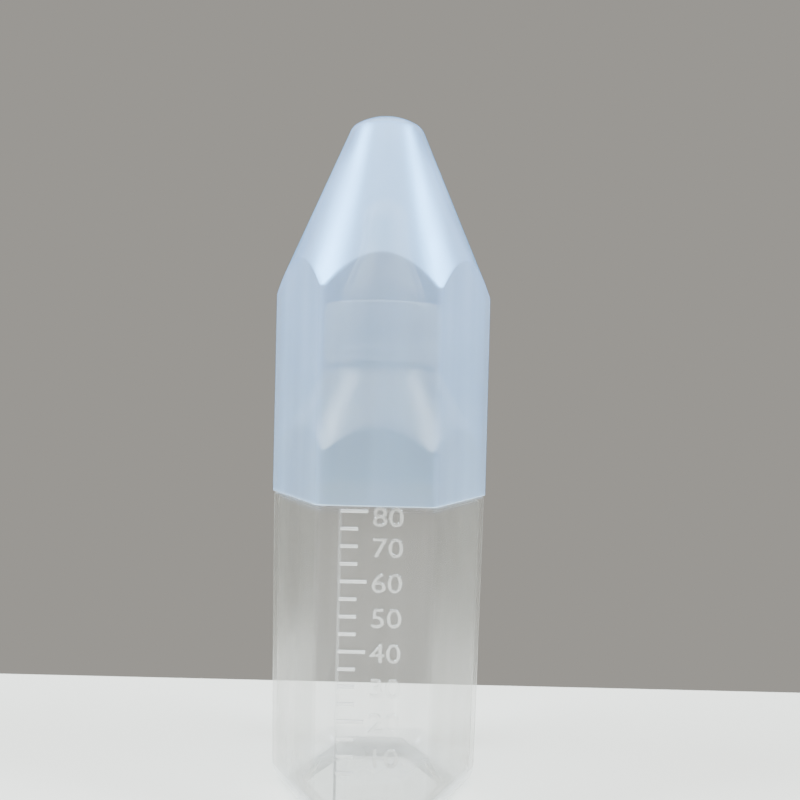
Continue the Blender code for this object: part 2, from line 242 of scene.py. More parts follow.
def section_loop(name: str, section: Profile) -> Piece:
    """Add a circle and draw its points out to a closed section in the XZ plane.

    Args:
        name: Name of the loop.
        section: Points of radius and height.

    Returns:
        The loop of edges.
    """
    deselect_all()
    bpy.ops.mesh.primitive_circle_add(vertices=len(section), radius=MM, fill_type="NOTHING")
    loop = bpy.context.active_object
    loop.name = name
    points = [(radius, 0.0, height) for radius, height in section]
    loop.data.vertices.foreach_set("co", np.array(points, dtype=np.float32).ravel())
    return loop


def spun(name: str, section: Profile, steps: int) -> Piece:
    """Spin a closed section about the axis.

    Args:
        name: Name of the piece.
        section: Points of radius and height.
        steps: Number of steps round the axis.

    Returns:
        The closed, turned piece.
    """
    piece = section_loop(name, section)
    with editing(piece, "VERT"):
        bpy.ops.mesh.select_all(action="SELECT")
        bpy.ops.mesh.spin(steps=steps, angle=2 * math.pi, center=(0, 0, 0), axis=(0, 0, 1))
    close_shell(piece)
    return piece


@dataclass(frozen=True)
class Hexagon:
    """A six-sided outline, with rounded corners on X, read at fixed azimuths.

    Attributes:
        flat_columns: Columns across the even part of each flat.
        corner_steps: Columns from a flat's end to the middle of its corner.
        even_share: Share of a flat's half-width that the even columns cover.
        corner_span: Angle at the axis between a corner's middle and its outermost column.
    """

    flat_columns: int = 17
    corner_steps: int = 5
    even_share: float = 0.87
    corner_span: float = math.radians(2.4)

    def offsets(self) -> np.ndarray:
        """List the columns of one flat, up to its far corner.

        Returns:
            Their angles from the middle of the flat.
        """
        even = np.linspace(-self.even_share, self.even_share, self.flat_columns)
        flats = np.arctan(even * math.tan(HALF_SIDE))
        turn = HALF_SIDE - np.linspace(self.corner_span, 0.0, self.corner_steps)
        return np.concatenate([-turn[-2::-1], flats, turn])

    def azimuths(self) -> np.ndarray:
        """Give every column's azimuth, starting at a corner on X."""
        middles = HALF_SIDE * (1 + 2 * np.arange(SIDES))
        return (middles[:, None] + self.offsets()[None, :]).ravel()

    def reach(self, apothem: float, corner_radius: float) -> np.ndarray:
        """Give the distance from the axis to the outline at each azimuth.

        Args:
            apothem: Distance from the axis to a flat.
            corner_radius: Radius of the rounded corners.

        Returns:
            One distance for each column.
        """
        offset = np.abs(np.tile(self.offsets(), SIDES))
        radius = min(corner_radius, apothem / 2)
        centre = (apothem - radius) / math.cos(HALF_SIDE)
        from_corner = HALF_SIDE - offset
        across = centre * np.sin(from_corner)
        rounded = centre * np.cos(from_corner) + np.sqrt(np.maximum(radius**2 - across**2, 0))
        on_corner = across < radius * math.sin(HALF_SIDE)
        return np.where(on_corner, rounded, apothem / np.cos(offset))


HEXAGON = Hexagon()


def ring(reach: np.ndarray | float, height: np.ndarray | float) -> Ring:
    """Make one ring of points round the axis.

    Args:
        reach: Distance from the axis, for all columns or for each.
        height: Height, for all columns or for each.

    Returns:
        Points in columns' order.
    """
    azimuths = HEXAGON.azimuths()
    x = reach * np.cos(azimuths)
    y = reach * np.sin(azimuths)
    return np.stack([x, y, np.broadcast_to(height, azimuths.shape)], axis=1)


def flat_rings(profile: Profile, corner_radius: float) -> list[Ring]:
    """Make six-sided rings from a profile of (apothem, height)."""
    return [ring(HEXAGON.reach(apothem, corner_radius), height) for apothem, height in profile]


def round_rings(profile: Profile) -> list[Ring]:
    """Make round rings from a profile of (radius, height)."""
    return [ring(radius, height) for radius, height in profile]


@dataclass(frozen=True)
class ConedFlats:
    """Six upright flats that run into a round cone, each ending in an arch.

    Attributes:
        apothem: Distance from the axis to a flat.
        corner_radius: Radius of the corners between flats.
        cone_radius: Radius of the cone at cone_height.
        cone_height: Height of the cone's stated radius.
        slope: Angle between the cone and the axis.
        softness: Radius that rounds the arches over.
        fold_rings: Rings on that rounding.
        flat_bunching: Draws the rings on the flats up towards the arches, below 1.
        cone_bunching: Draws the rings on the cone down towards the arches, above 1.
    """

    apothem: float
    corner_radius: float
    cone_radius: float
    cone_height: float
    slope: float
    softness: float
    fold_rings: int = 5
    flat_bunching: float = 0.8
    cone_bunching: float = 1.3

    def cone_at(self, height: float) -> float:
        """Give the cone's radius at a height."""
        return self.cone_radius - (height - self.cone_height) * math.tan(self.slope)

    def rings(self, low: float, high: float, flat_rows: int, cone_rows: int) -> list[Ring]:
        """Make the rings from low on the flats to high on the cone.

        Args:
            low: Height of the first ring.
            high: Height of the last ring, above every arch.
            flat_rows: Rings on the flats.
            cone_rows: Rings on the cone.

        Returns:
            Rings in order, upwards.
        """
        reach = HEXAGON.reach(self.apothem, self.corner_radius)
        arch = self.cone_height + (self.cone_radius - reach) / math.tan(self.slope)
        tangent = self.softness * math.tan(self.slope / 2)
        top_of_flat = arch - tangent
        made = []
        for share in np.linspace(0.0, 1.0, flat_rows) ** self.flat_bunching:
            made.append(ring(reach, low + (top_of_flat - 2 * tangent - low) * share))
        for turn in np.linspace(0.0, self.slope, self.fold_rings):
            out = reach - self.softness * (1 - math.cos(turn))
            made.append(ring(out, top_of_flat + self.softness * math.sin(turn)))
        start_out = reach - tangent * math.sin(self.slope)
        start_up = arch + tangent * math.cos(self.slope)
        for share in np.linspace(0.0, 1.0, cone_rows + 1)[1:] ** self.cone_bunching:
            out = start_out + (self.cone_at(high) - start_out) * share
            made.append(ring(out, start_up + (high - start_up) * share))
        return made


@dataclass(frozen=True)
class Ridge:
    """A screw thread's ridge that winds up a wall and runs out into it at both ends.

    Attributes:
        name: Name of the piece.
        root: Radius of the wall that carries it.
        depth: How far it stands out of the wall, negative for inwards.
        turns: Its length in turns.
        pitch: Rise of one turn.
        start: Height at which it starts.
        lead: Turns from +X at which it starts.
        half_root: Half of its width at the wall.
        half_crest: Half of its width at the crest.
        soft: Rounding of the crest.
        sunk: How far it reaches into the wall.
        run_out: Turns in which each end sinks into the wall.
        steps: Steps in one turn.
    """

    name: str
    root: float
    depth: float
    turns: float
    pitch: float
    start: float
    lead: float
    half_root: float = 0.8 * MM
    half_crest: float = 0.4 * MM
    soft: float = 0.12 * MM
    sunk: float = 0.25 * MM
    run_out: float = 0.12
    steps: int = 72

    def section(self) -> Profile:
        """Give the ridge's section about its own middle.

        Returns:
            Points of radius and height, upwards.
        """
        base = self.root - math.copysign(self.sunk, self.depth)
        crest = self.root + self.depth
        shoulder = crest - math.copysign(self.soft, self.depth)
        upper = [
            (crest, self.half_crest - self.soft),
            (shoulder, self.half_crest + self.soft / 2),
            (self.root, self.half_root),
            (base, self.half_root),
        ]
        return [*[(radius, -height) for radius, height in reversed(upper)], *upper]

    def sink_ends(self, ridge: Piece) -> None:
        """Draw the ridge into its wall towards both ends.

        Args:
            ridge: The wound ridge.
        """
        base = self.root - math.copysign(self.sunk, self.depth)
        for vert in ridge.data.vertices:
            radius = vert.co.xy.length
            part_turn = math.atan2(vert.co.y, vert.co.x) / (2 * math.pi) % 1.0
            turn = part_turn + round(vert.co.z / self.pitch - part_turn)
            near_end = max(min(turn, self.turns - turn), 0.0) / self.run_out
            if abs(radius - base) > self.soft:
                middle = (base + self.root) / 2
                vert.co.xy *= (middle + (radius - middle) * min(near_end, 1.0) ** 0.5) / radius

    def build(self) -> Piece:
        """Model the ridge.

        Returns:
            The closed ridge.
        """
        ridge = section_loop(self.name, self.section())
        screw = ridge.modifiers.new("winding", "SCREW")
        screw.angle = 2 * math.pi * self.turns
        screw.screw_offset = self.pitch * self.turns
        screw.steps = screw.render_steps = round(self.steps * self.turns)
        pick(ridge)
        bpy.ops.object.modifier_apply(modifier=screw.name)
        with editing(ridge, "EDGE"):
            select_edges(ridge, lambda edge: edge.is_boundary)
            bpy.ops.mesh.fill_holes(sides=0)
            bpy.ops.mesh.select_all(action="SELECT")
            bpy.ops.mesh.normals_make_consistent(inside=False)
        self.sink_ends(ridge)
        turn = Matrix.Rotation(2 * math.pi * self.lead, 4, "Z")
        ridge.data.transform(Matrix.Translation((0, 0, self.start)) @ turn)
        settle(ridge)
        return ridge


# ---------------------------------------------------------------------------------------------
# Finishes
# ---------------------------------------------------------------------------------------------


@dataclass(frozen=True)
class Graph:
    """A node tree that is being wired."""

    tree: bpy.types.NodeTree

    def node(self, kind: str, **settings: object) -> Node:
        """Add a node.

        Args:
            kind: The node's type.
            settings: Properties by name, and constants for inputs by label with _ for spaces.

        Returns:
            The node.
        """
        made = self.tree.nodes.new(kind)
        for name, value in settings.items():
            if name.islower():
                setattr(made, name, value)
            else:
                made.inputs[name.replace("_", " ")].default_value = value
        return made

    def link(self, source: Socket, target: Socket) -> None:
        """Wire one socket to another."""
        self.tree.links.new(source, target)

    def noise(self, vector: Socket, scale: float, detail: float) -> Socket:
        """Add a noise pattern.

        Args:
            vector: Coordinates.
            scale: Patches per metre.
            detail: Octaves.

        Returns:
            The pattern's value, about 0.5.
        """
        made = self.node("ShaderNodeTexNoise", Scale=scale, Detail=detail)
        self.link(vector, made.inputs["Vector"])
        return made.outputs["Fac"]

    def spread(
        self, value: Socket, low: float, high: float, start: float = 0.3, end: float = 0.7
    ) -> Socket:
        """Spread a pattern's value over a range.

        Args:
            value: The pattern.
            low: Result at start.
            high: Result at end.
            start: Lowest value that counts.
            end: Highest value that counts.

        Returns:
            The spread value.
        """
        made = self.node("ShaderNodeMapRange", clamp=True)
        self.link(value, made.inputs["Value"])
        made.inputs["From Min"].default_value = start
        made.inputs["From Max"].default_value = end
        made.inputs["To Min"].default_value = low
        made.inputs["To Max"].default_value = high
        return made.outputs["Result"]

    def blend(self, share: Socket, first: tuple, second: tuple) -> Socket:
        """Mix two colours by a mask.

        Args:
            share: The mask.
            first: Colour where the mask is 0.
            second: Colour where the mask is 1.

        Returns:
            The mixed colour.
        """
        made = self.node("ShaderNodeMix", data_type="RGBA")
        inputs = {socket.identifier: socket for socket in made.inputs}
        inputs["A_Color"].default_value = (*first, 1.0)
        inputs["B_Color"].default_value = (*second, 1.0)
        self.link(share, inputs["Factor_Float"])
        return next(socket for socket in made.outputs if socket.identifier == "Result_Color")


STREAK_SCALE = 150.0  # streaks per metre round a piece
STREAK_WIDTH_SHARE = 0.06  # a streak's width as a share of its length


def moulded_surface_group() -> bpy.types.NodeTree:
    """Build the effect that all pieces share: uneven flow of the melt and a fine satin grain.

    Returns:
        A group that gives a Cloud mask, a Flow mask of upright streaks, and a Height for bump.
    """
    tree = bpy.data.node_groups.new("moulded_surface", "ShaderNodeTree")
    sockets = tree.interface
    sockets.new_socket("Vector", in_out="INPUT", socket_type="NodeSocketVector")
    for label, value in (("Cloud Scale", 60.0), ("Grain Scale", 9000.0), ("Wave Share", 0.6)):
        made = sockets.new_socket(label, in_out="INPUT", socket_type="NodeSocketFloat")
        made.default_value = value
    for label in ("Cloud", "Flow", "Height"):
        sockets.new_socket(label, in_out="OUTPUT", socket_type="NodeSocketFloat")

    graph = Graph(tree)
    source = graph.node("NodeGroupInput")
    result = graph.node("NodeGroupOutput")
    cloud = graph.node("ShaderNodeTexNoise", Detail=3.0, Roughness=0.55)
    graph.link(source.outputs["Vector"], cloud.inputs["Vector"])
    graph.link(source.outputs["Cloud Scale"], cloud.inputs["Scale"])
    graph.link(graph.spread(cloud.outputs["Fac"], 0.0, 1.0), result.inputs["Cloud"])

    squash = graph.node("ShaderNodeMapping", Scale=(1.0, 1.0, STREAK_WIDTH_SHARE))
    graph.link(source.outputs["Vector"], squash.inputs["Vector"])
    streaks = graph.noise(squash.outputs["Vector"], STREAK_SCALE, detail=1.0)
    graph.link(graph.spread(streaks, 0.0, 1.0), result.inputs["Flow"])

    grain = graph.node("ShaderNodeTexNoise", Detail=1.0, Roughness=0.5)
    graph.link(source.outputs["Vector"], grain.inputs["Vector"])
    graph.link(source.outputs["Grain Scale"], grain.inputs["Scale"])
    height = graph.node("ShaderNodeMix", data_type="FLOAT")
    graph.link(source.outputs["Wave Share"], height.inputs["Factor"])
    graph.link(grain.outputs["Fac"], height.inputs["A"])
    graph.link(cloud.outputs["Fac"], height.inputs["B"])
    graph.link(height.outputs["Result"], result.inputs["Height"])
    return tree


GRAZING_POWER = 5.0  # how late a skin's reflection grows towards its outline


@dataclass(frozen=True)
class HazyPlastic:
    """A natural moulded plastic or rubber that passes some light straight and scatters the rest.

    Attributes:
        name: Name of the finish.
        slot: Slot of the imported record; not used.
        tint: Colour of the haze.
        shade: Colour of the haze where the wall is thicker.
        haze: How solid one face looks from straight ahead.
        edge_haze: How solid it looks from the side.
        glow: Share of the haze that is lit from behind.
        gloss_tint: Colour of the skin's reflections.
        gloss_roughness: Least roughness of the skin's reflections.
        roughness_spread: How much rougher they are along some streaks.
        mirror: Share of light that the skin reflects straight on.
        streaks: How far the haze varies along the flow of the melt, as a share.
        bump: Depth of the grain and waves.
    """

    name: str
    slot: Slot
    tint: tuple[float, float, float]
    shade: tuple[float, float, float]
    haze: float
    edge_haze: float
    glow: float = 0.45
    gloss_tint: tuple[float, float, float] = (1.0, 1.0, 1.0)
    gloss_roughness: float = 0.25
    roughness_spread: float = 0.12
    mirror: float = 0.045
    streaks: float = 0.2
    bump: float = 0.00004

    def build(self, surface: bpy.types.NodeTree) -> bpy.types.Material:
        """Wire the material.

        Args:
            surface: The shared moulded surface group.

        Returns:
            The material.
        """
        material = bpy.data.materials.new(self.name)
        material.use_nodes = True
        graph = Graph(material.node_tree)
        graph.tree.nodes.clear()
        place = graph.node("ShaderNodeTexCoord")
        moulded = graph.node("ShaderNodeGroup")
        moulded.node_tree = surface
        graph.link(place.outputs["Object"], moulded.inputs["Vector"])

        colour = graph.blend(moulded.outputs["Cloud"], self.tint, self.shade)
        relief = graph.node("ShaderNodeBump", Strength=0.6, Distance=self.bump)
        graph.link(moulded.outputs["Height"], relief.inputs["Height"])

        skin = graph.node("ShaderNodeBsdfPrincipled", Specular_IOR_Level=0.2)
        graph.link(colour, skin.inputs["Base Color"])
        roughest = self.gloss_roughness + self.roughness_spread
        rough = graph.spread(moulded.outputs["Flow"], self.gloss_roughness, roughest, 0.0, 1.0)
        graph.link(rough, skin.inputs["Roughness"])
        graph.link(relief.outputs["Normal"], skin.inputs["Normal"])
        glow = graph.node("ShaderNodeBsdfTranslucent")
        graph.link(colour, glow.inputs["Color"])
        graph.link(relief.outputs["Normal"], glow.inputs["Normal"])
        milk = graph.node("ShaderNodeMixShader", Fac=self.glow)
        graph.link(skin.outputs["BSDF"], milk.inputs[1])
        graph.link(glow.outputs["BSDF"], milk.inputs[2])

        facing = graph.node("ShaderNodeLayerWeight", Blend=0.5)
        thick = graph.spread(facing.outputs["Facing"], self.haze, self.edge_haze, 0.5, 1.0)
        uneven = graph.spread(moulded.outputs["Flow"], 1 - self.streaks, 1 + self.streaks, 0.0, 1.0)
        solid = graph.node("ShaderNodeMath", operation="MULTIPLY", use_clamp=True)
        graph.link(thick, solid.inputs[0])
        graph.link(uneven, solid.inputs[1])
        clear = graph.node("ShaderNodeBsdfTransparent")
        hazy = graph.node("ShaderNodeMixShader")
        graph.link(solid.outputs["Value"], hazy.inputs["Fac"])
        graph.link(clear.outputs["BSDF"], hazy.inputs[1])
        graph.link(milk.outputs["Shader"], hazy.inputs[2])

        shine = graph.node("ShaderNodeBsdfGlossy", Color=(*self.gloss_tint, 1.0))
        graph.link(rough, shine.inputs["Roughness"])
        graph.link(relief.outputs["Normal"], shine.inputs["Normal"])
        steep = graph.node("ShaderNodeMath", operation="POWER")
        steep.inputs[1].default_value = GRAZING_POWER
        graph.link(facing.outputs["Facing"], steep.inputs[0])
        mirror = graph.spread(steep.outputs["Value"], self.mirror, 1.0, 0.0, 1.0)
        whole = graph.node("ShaderNodeMixShader")
        graph.link(mirror, whole.inputs["Fac"])
        graph.link(hazy.outputs["Shader"], whole.inputs[1])
        graph.link(shine.outputs["BSDF"], whole.inputs[2])
        output = graph.node("ShaderNodeOutputMaterial")
        graph.link(whole.outputs["Shader"], output.inputs["Surface"])
        return material


BODY_FINISH = HazyPlastic(
    name="natural_body",
    slot=Slot.BODY,
    tint=(0.37, 0.35, 0.29),
    shade=(0.30, 0.29, 0.24),
    haze=0.045,
    edge_haze=0.62,
    glow=0.55,
    gloss_roughness=0.25,
    mirror=0.032,
    streaks=0.35,
)
# Paler, denser haze for the thick neck, foot, rib and thread, also used as painted top light on the
# up-facing shoulder cone.
THICK_AND_TOPLIT_FINISH = HazyPlastic(
    name="natural_body_thick_and_toplit",
    slot=Slot.BODY,
    tint=(0.82, 0.84, 0.84),
    shade=(0.74, 0.76, 0.76),
    haze=0.10,
    edge_haze=0.6,
    glow=0.3,
    gloss_roughness=0.25,
    mirror=0.06,
    streaks=0.35,
)
# Painted light: a near-white haze on the raised floor and its side wall that lifts the shade falling
# there.
FLOOR_LIFTED_SHADE_FINISH = HazyPlastic(
    name="natural_body_floor_lifted_shade",
    slot=Slot.BODY,
    tint=(0.97, 0.96, 0.92),
    shade=(0.92, 0.91, 0.87),
    haze=0.15,
    edge_haze=0.45,
    glow=0.4,
    gloss_roughness=0.25,
    mirror=0.015,
)
MARK_FINISH = HazyPlastic(
    name="raised_marks",
    slot=Slot.BODY,
    tint=(0.95, 0.95, 0.93),
    shade=(0.90, 0.90, 0.88),
    haze=0.42,
    edge_haze=0.6,
    glow=0.25,
    gloss_roughness=0.14,
    mirror=0.2,
)
FIGURE_FINISH = HazyPlastic(
    name="raised_figures",
    slot=Slot.BODY,
    tint=(0.80, 0.80, 0.76),
    shade=(0.72, 0.72, 0.68),
    haze=0.13,
    edge_haze=0.75,
    glow=0.25,
    gloss_roughness=0.12,
    mirror=0.2,
)
COLLAR_FINISH = HazyPlastic(
    name="natural_collar",
    slot=Slot.COLLAR,
    tint=(0.94, 0.97, 1.0),
    shade=(0.88, 0.92, 0.95),
    haze=0.42,
    edge_haze=0.7,
)
TEAT_FINISH = HazyPlastic(
    name="clear_silicone",
    slot=Slot.TEAT,
    tint=(0.82, 0.80, 0.76),
    shade=(0.76, 0.74, 0.70),
    haze=0.12,
    edge_haze=0.4,
    gloss_roughness=0.45,
)
CAP_FINISH = HazyPlastic(
    name="bluish_cap",
    slot=Slot.CAP,
    tint=(0.68, 0.82, 1.0),
    shade=(0.62, 0.77, 0.97),
    haze=0.27,
    edge_haze=0.65,
    gloss_tint=(0.26, 0.60, 1.0),
    gloss_roughness=0.28,
    mirror=0.14,
)
# Denser haze of the wall's end on the cap's lip, made paler as a painted highlight along the rim.
CAP_LIP_HIGHLIGHT_FINISH = HazyPlastic(
    name="bluish_cap_lip_highlight",
    slot=Slot.CAP,
    tint=(0.72, 0.86, 1.0),
    shade=(0.66, 0.80, 0.95),
    haze=0.8,
    edge_haze=0.9,
)


@dataclass(frozen=True)
class Wardrobe:
    """Builds each finish once and dresses pieces in it.

    Attributes:
        surface: The shared moulded surface group.
        made: Materials so far, by the name of their finish.
    """

    surface: bpy.types.NodeTree
    made: dict[str, bpy.types.Material]

    def material(self, finish: HazyPlastic) -> bpy.types.Material:
        """Give a finish's material, which is wired at its first use.

        Args:
            finish: The finish.

        Returns:
            The material.
        """
        if finish.name not in self.made:
            self.made[finish.name] = finish.build(self.surface)
        return self.made[finish.name]

    def dress(self, piece: Piece, finish: HazyPlastic) -> None:
        """Give a piece its finish.

        Args:
            piece: The piece.
            finish: What it is made of.
        """
        piece.data.materials.clear()
        piece.data.materials.append(self.material(finish))

    def dress_faces(
        self, piece: Piece, finish: HazyPlastic, wanted: Callable[[bpy.types.MeshPolygon], bool]
    ) -> None:
        """Give some faces of a dressed piece a second finish: the look of a thicker wall, or painted
        light.

        Args:
            piece: A piece that is already dressed.
            finish: The second finish, for a thicker wall or with painted light.
            wanted: Says which faces get it.
        """
        index = len(piece.data.materials)
        piece.data.materials.append(self.material(finish))
        for face in filter(wanted, piece.data.polygons):
            face.material_index = index


# ---------------------------------------------------------------------------------------------
# Sub-assemblies
# ---------------------------------------------------------------------------------------------


class SubAssembly(ABC):
    """Pieces that stand for one CAD node and ride on one body.

    Attributes:
        node: The CAD node.
        body: The body.
    """

    node: ClassVar[str]
    body: ClassVar[Body]

    @abstractmethod
    def pieces(self) -> list[tuple[Piece, HazyPlastic]]:
        """Build the pieces.

        Returns:
            Each piece with its finish.
        """

    def make(self, wardrobe: Wardrobe) -> list[Piece]:
        """Build and dress the pieces, and let them ride on the body in the node's place.

        Args:
            wardrobe: What dresses them.

        Returns:
            The finished pieces.
        """
        made = []
        for piece, finish in self.pieces():
            wardrobe.dress(piece, finish)
            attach(piece, self.body.value)
            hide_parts(self.node)
            made.append(piece)
        return made


@dataclass
class Cap(SubAssembly):
    """The push-on cap: a six-sided skirt that runs into a round cone with a crowned tip."""

    node = "cap"
    body = Body.CAP
    rim: float = field(init=False)
    top: float = field(init=False)
    apothem: float = field(init=False)
    corner: float = field(init=False)
    corner_height: float = field(init=False)
    slope: float = field(init=False)
    wall: float = 1.0 * MM
    skirt: float = 44.4 * MM
    tip_radius: float = 7.0 * MM
    crown_radius: float = 14.0 * MM
    tip_fillet: float = 3.0 * MM
    corner_radius: float = 1.8 * MM
    lip_radius: float = 0.25 * MM
    arch_softness: float = 1.4 * MM
    arch_room: float = 10.0 * MM

    def __post_init__(self) -> None:
        """Read the cap's place from the frame."""
        low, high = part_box(self.node)
        self.rim = low.z
        self.top = high.z
        self.apothem = (high.y - low.y) / 2
        self.corner = self.apothem / math.cos(HALF_SIDE)
        self.corner_height = self.rim + self.skirt
        self.slope = math.atan2(self.corner - self.tip_radius, self.top - self.corner_height)

    def tip(self, inset: float) -> Profile:
        """Give the tip's profile from the cone's end to the pole.

        Args:
            inset: How far the profile lies inside the outer skin.

        Returns:
            Points of radius and height, upwards.
        """
        along = Vector((math.sin(self.slope), -math.cos(self.slope)))
        outward = Vector((math.cos(self.slope), math.sin(self.slope)))
        crown_centre = Vector((0, self.top - self.crown_radius))
        start = Vector((self.tip_radius, self.top)) - crown_centre - self.tip_fillet * outward
        reach = self.crown_radius - self.tip_fillet
        dot = start.dot(along)
        slide = -dot - math.sqrt(dot**2 - start.length_squared + reach**2)
        centre = crown_centre + start + slide * along
        turn = math.degrees(math.atan2(centre.y - crown_centre.y, centre.x))
        fillet = arc(tuple(centre), self.tip_fillet - inset, math.degrees(self.slope), turn, 8)
        crown = arc(tuple(crown_centre), self.crown_radius - inset, turn, 90.0, 8)
        return [*fillet, *crown[1:-1], (0.0, self.top - inset)]

    def sheet(self, name: str, inset: float, foot: Profile) -> Piece:
        """Roll one skin of the cap, from its lip to its pole.

        Args:
            name: Name of the skin.
            inset: How far it lies inside the outer skin.
            foot: Profile of the lip, as (apothem, height), from the middle of the wall to the flats.

        Returns:
            The skin.
        """
        flats = ConedFlats(
            self.apothem - inset,
            self.corner_radius - inset / 2,
            self.corner - inset / math.cos(self.slope),
            self.corner_height,
            self.slope,
            self.arch_softness - inset / 2,
        )
        tip = self.tip(inset)
        arches_top = self.corner_height + self.arch_room
        above_lip = foot[-1][1] + 0.3 * MM
        rows = flats.rings(above_lip, arches_top, 14, 8)
        cone = [(flats.cone_at(z), z) for z in np.linspace(arches_top, tip[0][1], 16)[1:-1]]
        rings = [
            *flat_rings(foot[:1], self.corner_radius),
            *flat_rings(foot[1:], self.corner_radius - inset / 2),
            *rows,
            *round_rings(cone),
            *round_rings(tip),
        ]
        return rolled_sheet(name, rings)

    def build_shell(self) -> Piece:
        """Model the cap as one closed shell.

        Returns:
            The cap.
        """
        lip = self.lip_radius
        outer = arc((self.apothem - lip, self.rim + lip), lip, -90.0, 0.0, 4)
        inner_apothem = self.apothem - self.wall
        inner = arc((inner_apothem + lip, self.rim + lip), lip, 270.0, 180.0, 4)
        middle = ((outer[0][0] + inner[0][0]) / 2, self.rim)
        skin = self.sheet("cap_skin", 0.0, [middle, *outer])
        lining = self.sheet("cap_lining", self.wall, [middle, *inner])
        cap = join("cap_shell", [skin, lining])
        close_shell(cap)
        settle(cap)
        return cap

    def pieces(self) -> list[tuple[Piece, HazyPlastic]]:
        """Build the cap."""
        return [(self.build_shell(), CAP_FINISH)]

    def make(self, wardrobe: Wardrobe) -> list[Piece]:
        """Build and dress the cap, with a denser look and a painted highlight along its lip.

        Args:
            wardrobe: What dresses it.

        Returns:
            The finished cap.
        """
        made = super().make(wardrobe)
        lip_top = self.rim + self.lip_radius
        # The lip gets a denser, paler finish: partly the wall's end, partly a painted highlight.
        wardrobe.dress_faces(made[0], CAP_LIP_HIGHLIGHT_FINISH, lambda face: face.center.z < lip_top)
        return made


@dataclass
class Bottle(SubAssembly):
    """The bottle: a six-sided body, a lap for the cap, a conical shoulder and a beaded neck."""

    node = "bottle"
    body = Body.BOTTLE
    rim: float = field(init=False)
    apothem: float = field(init=False)
    base_apothem: float = field(init=False)
    bead_top: float = field(init=False)
    lap_corner: float = field(init=False)
    corner_height: float = field(init=False)
    thread_start: float = field(init=False)
    wall: float = 0.9 * MM
    draft: float = 0.7 * MM
    ledge: float = 67.2 * MM
    lap_apothem: float = 20.1 * MM
    lap: float = 11.0 * MM
    shoulder_angle: float = math.radians(30.0)
    corner_radius: float = 1.8 * MM
    foot_radius: float = 4.5 * MM
    standing_ring: float = 3.0 * MM
    push_up: float = 5.0 * MM
    push_up_draft: float = 2.0 * MM
    neck_radius: float = 10.7 * MM
    neck_wall: float = 1.2 * MM
    neck_height: float = 10.0 * MM
    bead_radius: float = 13.0 * MM
    bead_height: float = 1.5 * MM
    throat_drop: float = 1.5 * MM
    thread_depth: float = 1.0 * MM
    thread_pitch: float = 3.0 * MM
    thread_turns: float = 1.5
    arch_softness: float = 1.6 * MM
    arch_room: float = 6.0 * MM

    def __post_init__(self) -> None:
        """Read the bottle's place from the frame."""
        _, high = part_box(self.node)
        self.rim = high.z
        self.apothem = high.y
        self.base_apothem = self.apothem - self.draft
        self.bead_top = self.rim - self.neck_height
        self.lap_corner = self.lap_apothem / math.cos(HALF_SIDE)
        self.corner_height = self.ledge + self.lap
        thread_length = self.thread_turns * self.thread_pitch
        self.thread_start = self.bead_top + (self.neck_height - thread_length) / 2

    def flats(self, inset: float) -> ConedFlats:
        """Describe the lap and the shoulder.

        Args:
            inset: How far the skin lies inside the outer one.

        Returns:
            The flats and their cone.
        """
        return ConedFlats(
            self.lap_apothem - inset,
            self.corner_radius - inset / 2,
            self.lap_corner - inset / math.cos(self.shoulder_angle),
            self.corner_height,
            self.shoulder_angle,
            self.arch_softness - inset / 2,
        )

    def shoulder(self, inset: float, start: float, end: float) -> list[Ring]:
        """Make the rings from the lap's foot to the end of the cone.

        Args:
            inset: How far the skin lies inside the outer one.
            start: Height of the first ring.
            end: Height of the last ring.

        Returns:
            Rings in order, upwards.
        """
        flats = self.flats(inset)
        arches_top = self.corner_height + self.arch_room
        rows = flats.rings(start, arches_top, 8, 8)
        cone = [(flats.cone_at(z), z) for z in np.linspace(arches_top, end, 9)[1:]]
        return [*rows, *round_rings(cone)]

    def skin(self) -> Piece:
        """Roll the outer skin, from the middle of the raised floor to the neck's rim.

        Returns:
            The skin.
        """
        hollow = self.base_apothem - self.foot_radius - self.standing_ring
        raised = hollow - self.push_up_draft
        soft = 0.5 * MM
        floor = [(0.0, self.push_up), (raised / 2, self.push_up), (raised - 3 * soft, self.push_up)]
        floor += arc((raised - soft, self.push_up - soft), soft, 90.0, 15.0, 3)
        floor += arc((hollow + soft, soft), soft, 190.0, 270.0, 3)
        foot_centre = (self.base_apothem - self.foot_radius, self.foot_radius)
        floor += arc(foot_centre, self.foot_radius, -90.0, 0.0, 10)

        heights = np.linspace(self.foot_radius, self.ledge - soft, 12)[1:]
        wall = [(self.base_apothem + self.draft * z / self.ledge, z) for z in heights]
        nook = 0.2 * MM
        ledge = arc((self.apothem - soft, self.ledge - soft), soft, 0.0, 90.0, 4)
        ledge += [(self.lap_apothem + 0.25 * MM, self.ledge)]
        ledge += arc((self.lap_apothem + nook, self.ledge + nook), nook, 270.0, 180.0, 3)
        body = [
            *flat_rings(floor, self.corner_radius),
            *flat_rings(wall, self.corner_radius),
            *flat_rings(ledge[1:], self.corner_radius),
        ]

        bead_low = self.bead_top - self.bead_height
        round_bead = 0.3 * MM
        neck_foot = (self.neck_radius + round_bead, self.bead_top + round_bead)
        neck = [
            *arc((self.bead_radius - round_bead, bead_low + round_bead), round_bead, -30.0, 0.0, 2),
            *arc((self.bead_radius - round_bead, self.bead_top - round_bead), round_bead, 0.0, 90.0, 3),
            (self.neck_radius + round_bead, self.bead_top),
            *arc(neck_foot, round_bead, 270.0, 180.0, 3)[1:],
            (self.neck_radius, (self.bead_top + self.rim) / 2),
            *arc((self.neck_radius - round_bead, self.rim - round_bead), round_bead, 0.0, 90.0, 3),
            (self.neck_radius - self.neck_wall / 2, self.rim),
        ]
        rings = [
            *body,
            *self.shoulder(0.0, self.ledge + 0.6 * MM, bead_low - 0.2 * MM),
            *round_rings(neck),
        ]
        return rolled_sheet("bottle_skin", rings)

